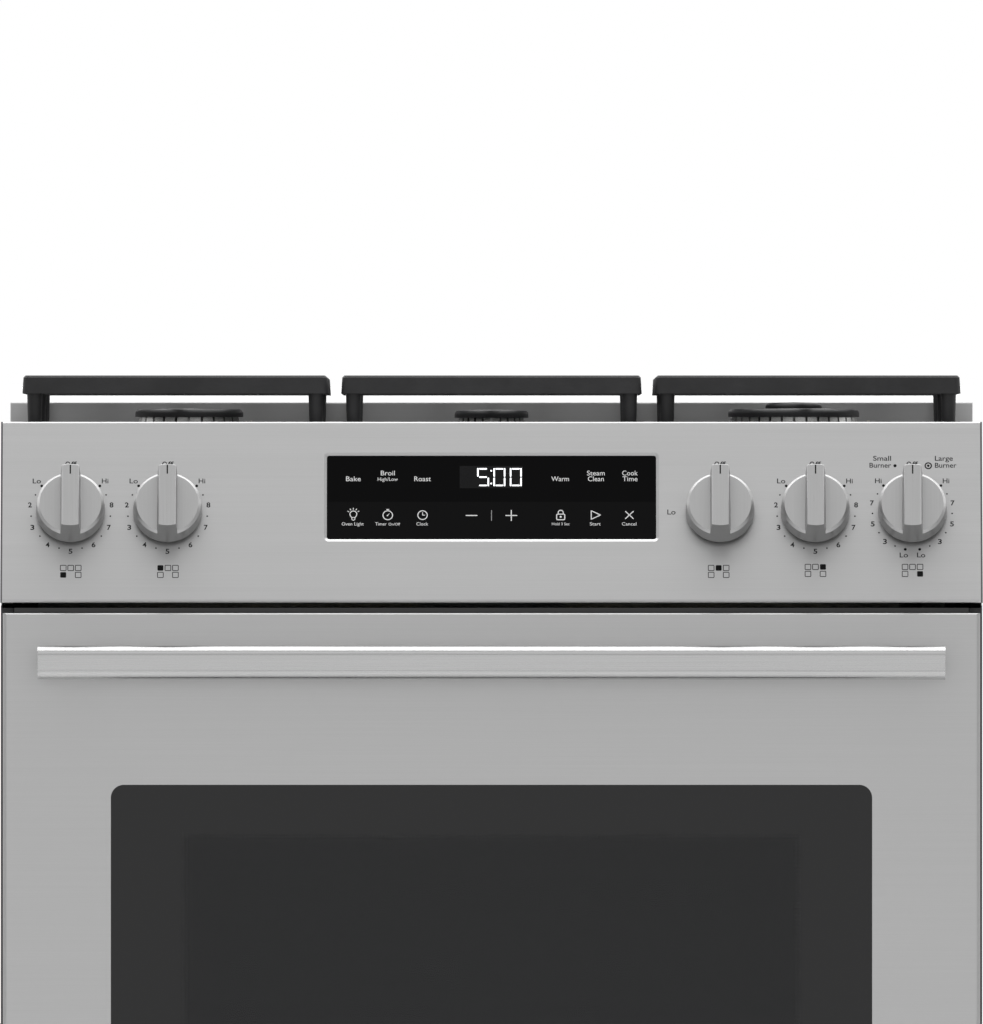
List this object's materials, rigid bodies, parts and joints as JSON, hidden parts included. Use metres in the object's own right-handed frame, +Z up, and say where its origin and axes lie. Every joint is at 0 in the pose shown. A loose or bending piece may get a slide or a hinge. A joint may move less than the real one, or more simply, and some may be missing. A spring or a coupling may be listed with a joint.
{
  "type": "freestanding gas range",
  "caption": "Front-control gas range: sloping steel panel with turning dials and a black touch glass, five burners under three grates, drop-down oven door, two racks and a storage drawer.",
  "frame": {"origin": "on the floor under the middle of the overall box", "axes": "+Z up, the control panel and door face -Y, +X to the viewer's right"},
  "size_m": [0.759, 0.735, 0.95],
  "materials": {
    "brushed_stainless": "fine horizontal brushing",
    "handle_metal": "satin, brushed along its length",
    "knob_metal": "satin metal finish with a brushed grip",
    "cap_grey": "satin dark grey",
    "side_grey": "satin dark grey",
    "galvanised": "dull galvanised sheet",
    "black_enamel": "gloss black enamel",
    "oven_enamel": "dark blue speckled enamel",
    "burner_steel": "heat-tinted steel",
    "ceramic": "glazed ceramic",
    "lamp_glass": "ribbed clear glass",
    "bright_metal": "polished",
    "glass_wool": "glass wool with a foil face",
    "cast_iron": "matt black, slightly rough",
    "burner_metal": "cast",
    "supply_pipe": "grey painted pipe",
    "tube_metal": "drawn tube",
    "valve_brass": "machined",
    "black_glass": "polished black glass",
    "tinted_glass": "dark tinted glass with a printed border",
    "clear_glass": "clear",
    "black_plastic": "fine moulded texture",
    "board_green": "circuit board with plastic parts",
    "rope_seal": "braided glass rope"
  },
  "bodies": {
    "range_body": {"base_frame": "galvanised", "side_panels": "side_grey", "rear_cover": "galvanised", "front_frame": "black_enamel", "oven_cavity": "oven_enamel", "oven_floor": "oven_enamel", "bake_burner": "burner_steel", "broil_burner": "burner_steel", "rack_guides": "bright_metal", "oven_lamp": "lamp_glass", "temperature_sensor": "bright_metal", "oven_insulation": "glass_wool", "flue_duct": "galvanised", "cooktop_deck": "black_enamel", "vent_trim": "brushed_stainless", "burner_bases": "burner_metal", "burner_heads": "burner_metal", "burner_caps": "cast_iron", "igniters": "ceramic", "gas_manifold": "supply_pipe", "valve_bodies": "valve_brass", "gas_tubes": "tube_metal", "gas_regulator": "burner_metal", "spark_module": "ceramic", "control_fascia": "brushed_stainless", "fascia_end_caps": "cap_grey", "touch_glass": "black_glass", "control_housing": "black_plastic", "control_board": "board_green", "control_rail": "galvanised", "drawer_rails": "galvanised", "hinge_arms": "galvanised", "door_gasket": "rope_seal", "power_inlet": "black_plastic", "levelling_feet": "galvanised", "panel_screws": "bright_metal"},
    "oven_door": {"door_panel": "brushed_stainless", "door_window": "tinted_glass", "door_inner_glass": "clear_glass", "door_liner": "black_enamel", "door_handle": "handle_metal", "handle_posts": "handle_metal", "door_hinges": "galvanised"},
    "storage_drawer": {"drawer_front": "brushed_stainless", "drawer_tray": "galvanised"},
    "upper_rack": {"rack_upper": "bright_metal"},
    "lower_rack": {"rack_lower": "bright_metal"},
    "left_grate": {"grate_left": "cast_iron"},
    "centre_grate": {"grate_centre": "cast_iron"},
    "right_grate": {"grate_right": "cast_iron"},
    "stem_left_front": {"valve_stem_left_front": "valve_brass"},
    "dial_left_front": {"knob_left_front": "knob_metal"},
    "stem_left_rear": {"valve_stem_left_rear": "valve_brass"},
    "dial_left_rear": {"knob_left_rear": "knob_metal"},
    "stem_centre": {"valve_stem_centre": "valve_brass"},
    "dial_centre": {"knob_centre": "knob_metal"},
    "stem_right_rear": {"valve_stem_right_rear": "valve_brass"},
    "dial_right_rear": {"knob_right_rear": "knob_metal"},
    "stem_right_front": {"valve_stem_right_front": "valve_brass"},
    "dial_right_front": {"knob_right_front": "knob_metal"}
  },
  "joints": [
    {"name": "left_front_turn", "type": "hinge", "parent": "range_body", "child": "stem_left_front", "pos_m": [-0.3253, -0.28722, 0.844], "axis": [0, 0.9272, -0.3746], "range_deg": [0, 314]},
    {"name": "left_front_push", "type": "slide", "parent": "stem_left_front", "child": "dial_left_front", "axis": [0, 0.9272, -0.3746], "range_m": [0, 0.0026], "stiffness_N_per_m": 1500, "springref_m": -0.002},
    {"name": "left_rear_turn", "type": "hinge", "parent": "range_body", "child": "stem_left_rear", "pos_m": [-0.2504, -0.28722, 0.844], "axis": [0, 0.9272, -0.3746], "range_deg": [0, 314]},
    {"name": "left_rear_push", "type": "slide", "parent": "stem_left_rear", "child": "dial_left_rear", "axis": [0, 0.9272, -0.3746], "range_m": [0, 0.0026], "stiffness_N_per_m": 1500, "springref_m": -0.002},
    {"name": "centre_turn", "type": "hinge", "parent": "range_body", "child": "stem_centre", "pos_m": [0.1767, -0.28722, 0.844], "axis": [0, 0.9272, -0.3746], "range_deg": [-90, 0]},
    {"name": "centre_push", "type": "slide", "parent": "stem_centre", "child": "dial_centre", "axis": [0, 0.9272, -0.3746], "range_m": [0, 0.0026], "stiffness_N_per_m": 1500, "springref_m": -0.002},
    {"name": "right_rear_turn", "type": "hinge", "parent": "range_body", "child": "stem_right_rear", "pos_m": [0.2503, -0.28722, 0.844], "axis": [0, 0.9272, -0.3746], "range_deg": [0, 314]},
    {"name": "right_rear_push", "type": "slide", "parent": "stem_right_rear", "child": "dial_right_rear", "axis": [0, 0.9272, -0.3746], "range_m": [0, 0.0026], "stiffness_N_per_m": 1500, "springref_m": -0.002},
    {"name": "right_front_turn", "type": "hinge", "parent": "range_body", "child": "stem_right_front", "pos_m": [0.3253, -0.28722, 0.844], "axis": [0, 0.9272, -0.3746], "range_deg": [-170, 170]},
    {"name": "right_front_push", "type": "slide", "parent": "stem_right_front", "child": "dial_right_front", "axis": [0, 0.9272, -0.3746], "range_m": [0, 0.0026], "stiffness_N_per_m": 1500, "springref_m": -0.002},
    {"name": "door_hinge", "type": "hinge", "parent": "range_body", "child": "oven_door", "pos_m": [0, -0.3015, 0.239], "axis": [1, 0, 0], "range_deg": [0, 90], "stiffness_Nm_per_rad": 10, "springref_deg": -14.32},
    {"name": "drawer_slide", "type": "slide", "parent": "range_body", "child": "storage_drawer", "axis": [0, -1, 0], "range_m": [0, 0.38]},
    {"name": "upper_rack_slide", "type": "slide", "parent": "range_body", "child": "upper_rack", "axis": [0, -1, 0], "range_m": [0, 0.012]},
    {"name": "lower_rack_slide", "type": "slide", "parent": "range_body", "child": "lower_rack", "axis": [0, -1, 0], "range_m": [0, 0.012]},
    {"name": "left_grate_lift", "type": "slide", "parent": "range_body", "child": "left_grate", "axis": [0, 0, 1], "range_m": [0, 0.12]},
    {"name": "centre_grate_lift", "type": "slide", "parent": "range_body", "child": "centre_grate", "axis": [0, 0, 1], "range_m": [0, 0.12]},
    {"name": "right_grate_lift", "type": "slide", "parent": "range_body", "child": "right_grate", "axis": [0, 0, 1], "range_m": [0, 0.12]}
  ]
}
